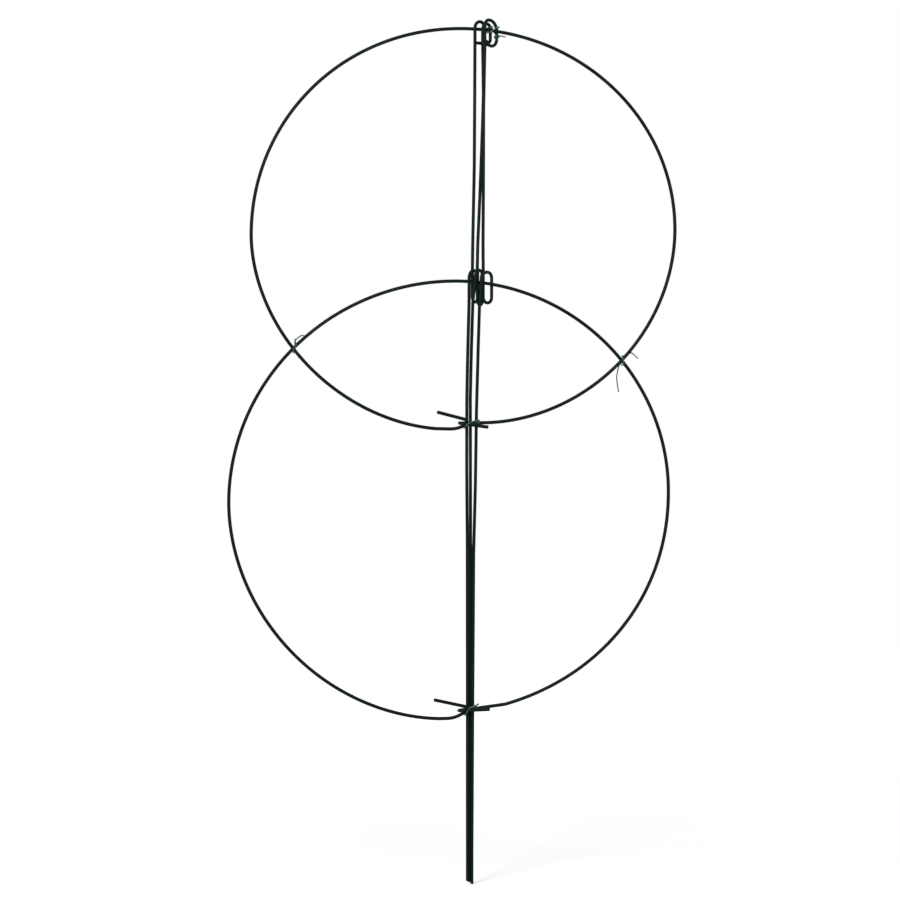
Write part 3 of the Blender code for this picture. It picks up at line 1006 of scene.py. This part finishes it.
leg_coat = coat(
    "leg_coat",
    deep=(0.0006, 0.0045, 0.0034, 1),
    pale=(0.0022, 0.0100, 0.0080, 1),
    strained=(0.020, 0.055, 0.044, 1),
    roughness=0.34,
    gloss=0.06,
    grain=1.0,
)
ring_coat = coat(
    "ring_coat",
    deep=(0.0003, 0.0032, 0.0024, 1),
    pale=(0.0016, 0.0080, 0.0062, 1),
    strained=(0.018, 0.050, 0.040, 1),
    roughness=0.32,
    gloss=0.06,
    grain=1.0,
)
tie_coat = coat(
    "tie_coat",
    deep=(0.001, 0.030, 0.020, 1),
    pale=(0.002, 0.062, 0.041, 1),
    strained=(0.025, 0.150, 0.105, 1),
    roughness=0.26,
    gloss=0.42,
    grain=2.4,
)
print("coats:", leg_coat.name, ring_coat.name, tie_coat.name)

# %% [markdown]
# ## The legs
# Each leg is one wire: a straight spike, an eye wound once round the lower hoop, and an end bent
# over the upper hoop. Spike and eyes could be separate pieces, but then seams would show where
# the real wire has none. All three are made by the same call, and ride on the legs' body.

# %% Make the legs
WIRE_SIDES = 20


def dress(node, finish, body, sides):
    """Make the skin of one packed wire, give it its coat, and let it stand for the solid."""
    strands = [lines[node]] + ([spurs[node]] if node in spurs else [])
    skins = [bent_wire(node, strand, radius_of[node], sides) for strand in strands]
    piece = finished(node + "_wire", skins)
    piece.data.materials.append(finish)
    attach(piece, body)
    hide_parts(node)
    print(piece.name, "has", len(piece.data.polygons), "faces")


for node in LEGS:
    dress(node, leg_coat, "legs", WIRE_SIDES)

# %% [markdown]
# ## The hoops
# Each hoop is one wire too, from the tail of its hook round to the tip of its hairpin. The
# closure could be a piece laid over the gap, but it is made of the hoop's own ends, and they
# have to run on into the arcs. A hoop swings out with its own body, so each rides on that one.

# %% Make the hoops
dress("top_ring", ring_coat, "upper_hoop", WIRE_SIDES)
dress("lower_ring", ring_coat, "lower_hoop", WIRE_SIDES)

# %% [markdown]
# ## The tie wires
# A tie is a soft thin wire in a lighter coat, and it passes over the wires that it holds. Where
# its second end shows, one line could run through the knot to both ends, but hardly anything of
# the knot can be seen. So that end is a skin of its own, joined to the first in one piece.

# %% Make the ties
TIE_SIDES = 12
TIE_BODIES = {
    "top_eye_tie": "legs",
    "left_crossing_tie": "upper_hoop",
    "right_crossing_tie": "upper_hoop",
    "top_closure_tie": "upper_hoop",
    "lower_closure_tie": "lower_hoop",
}

for node, body in TIE_BODIES.items():
    dress(node, tie_coat, body, TIE_SIDES)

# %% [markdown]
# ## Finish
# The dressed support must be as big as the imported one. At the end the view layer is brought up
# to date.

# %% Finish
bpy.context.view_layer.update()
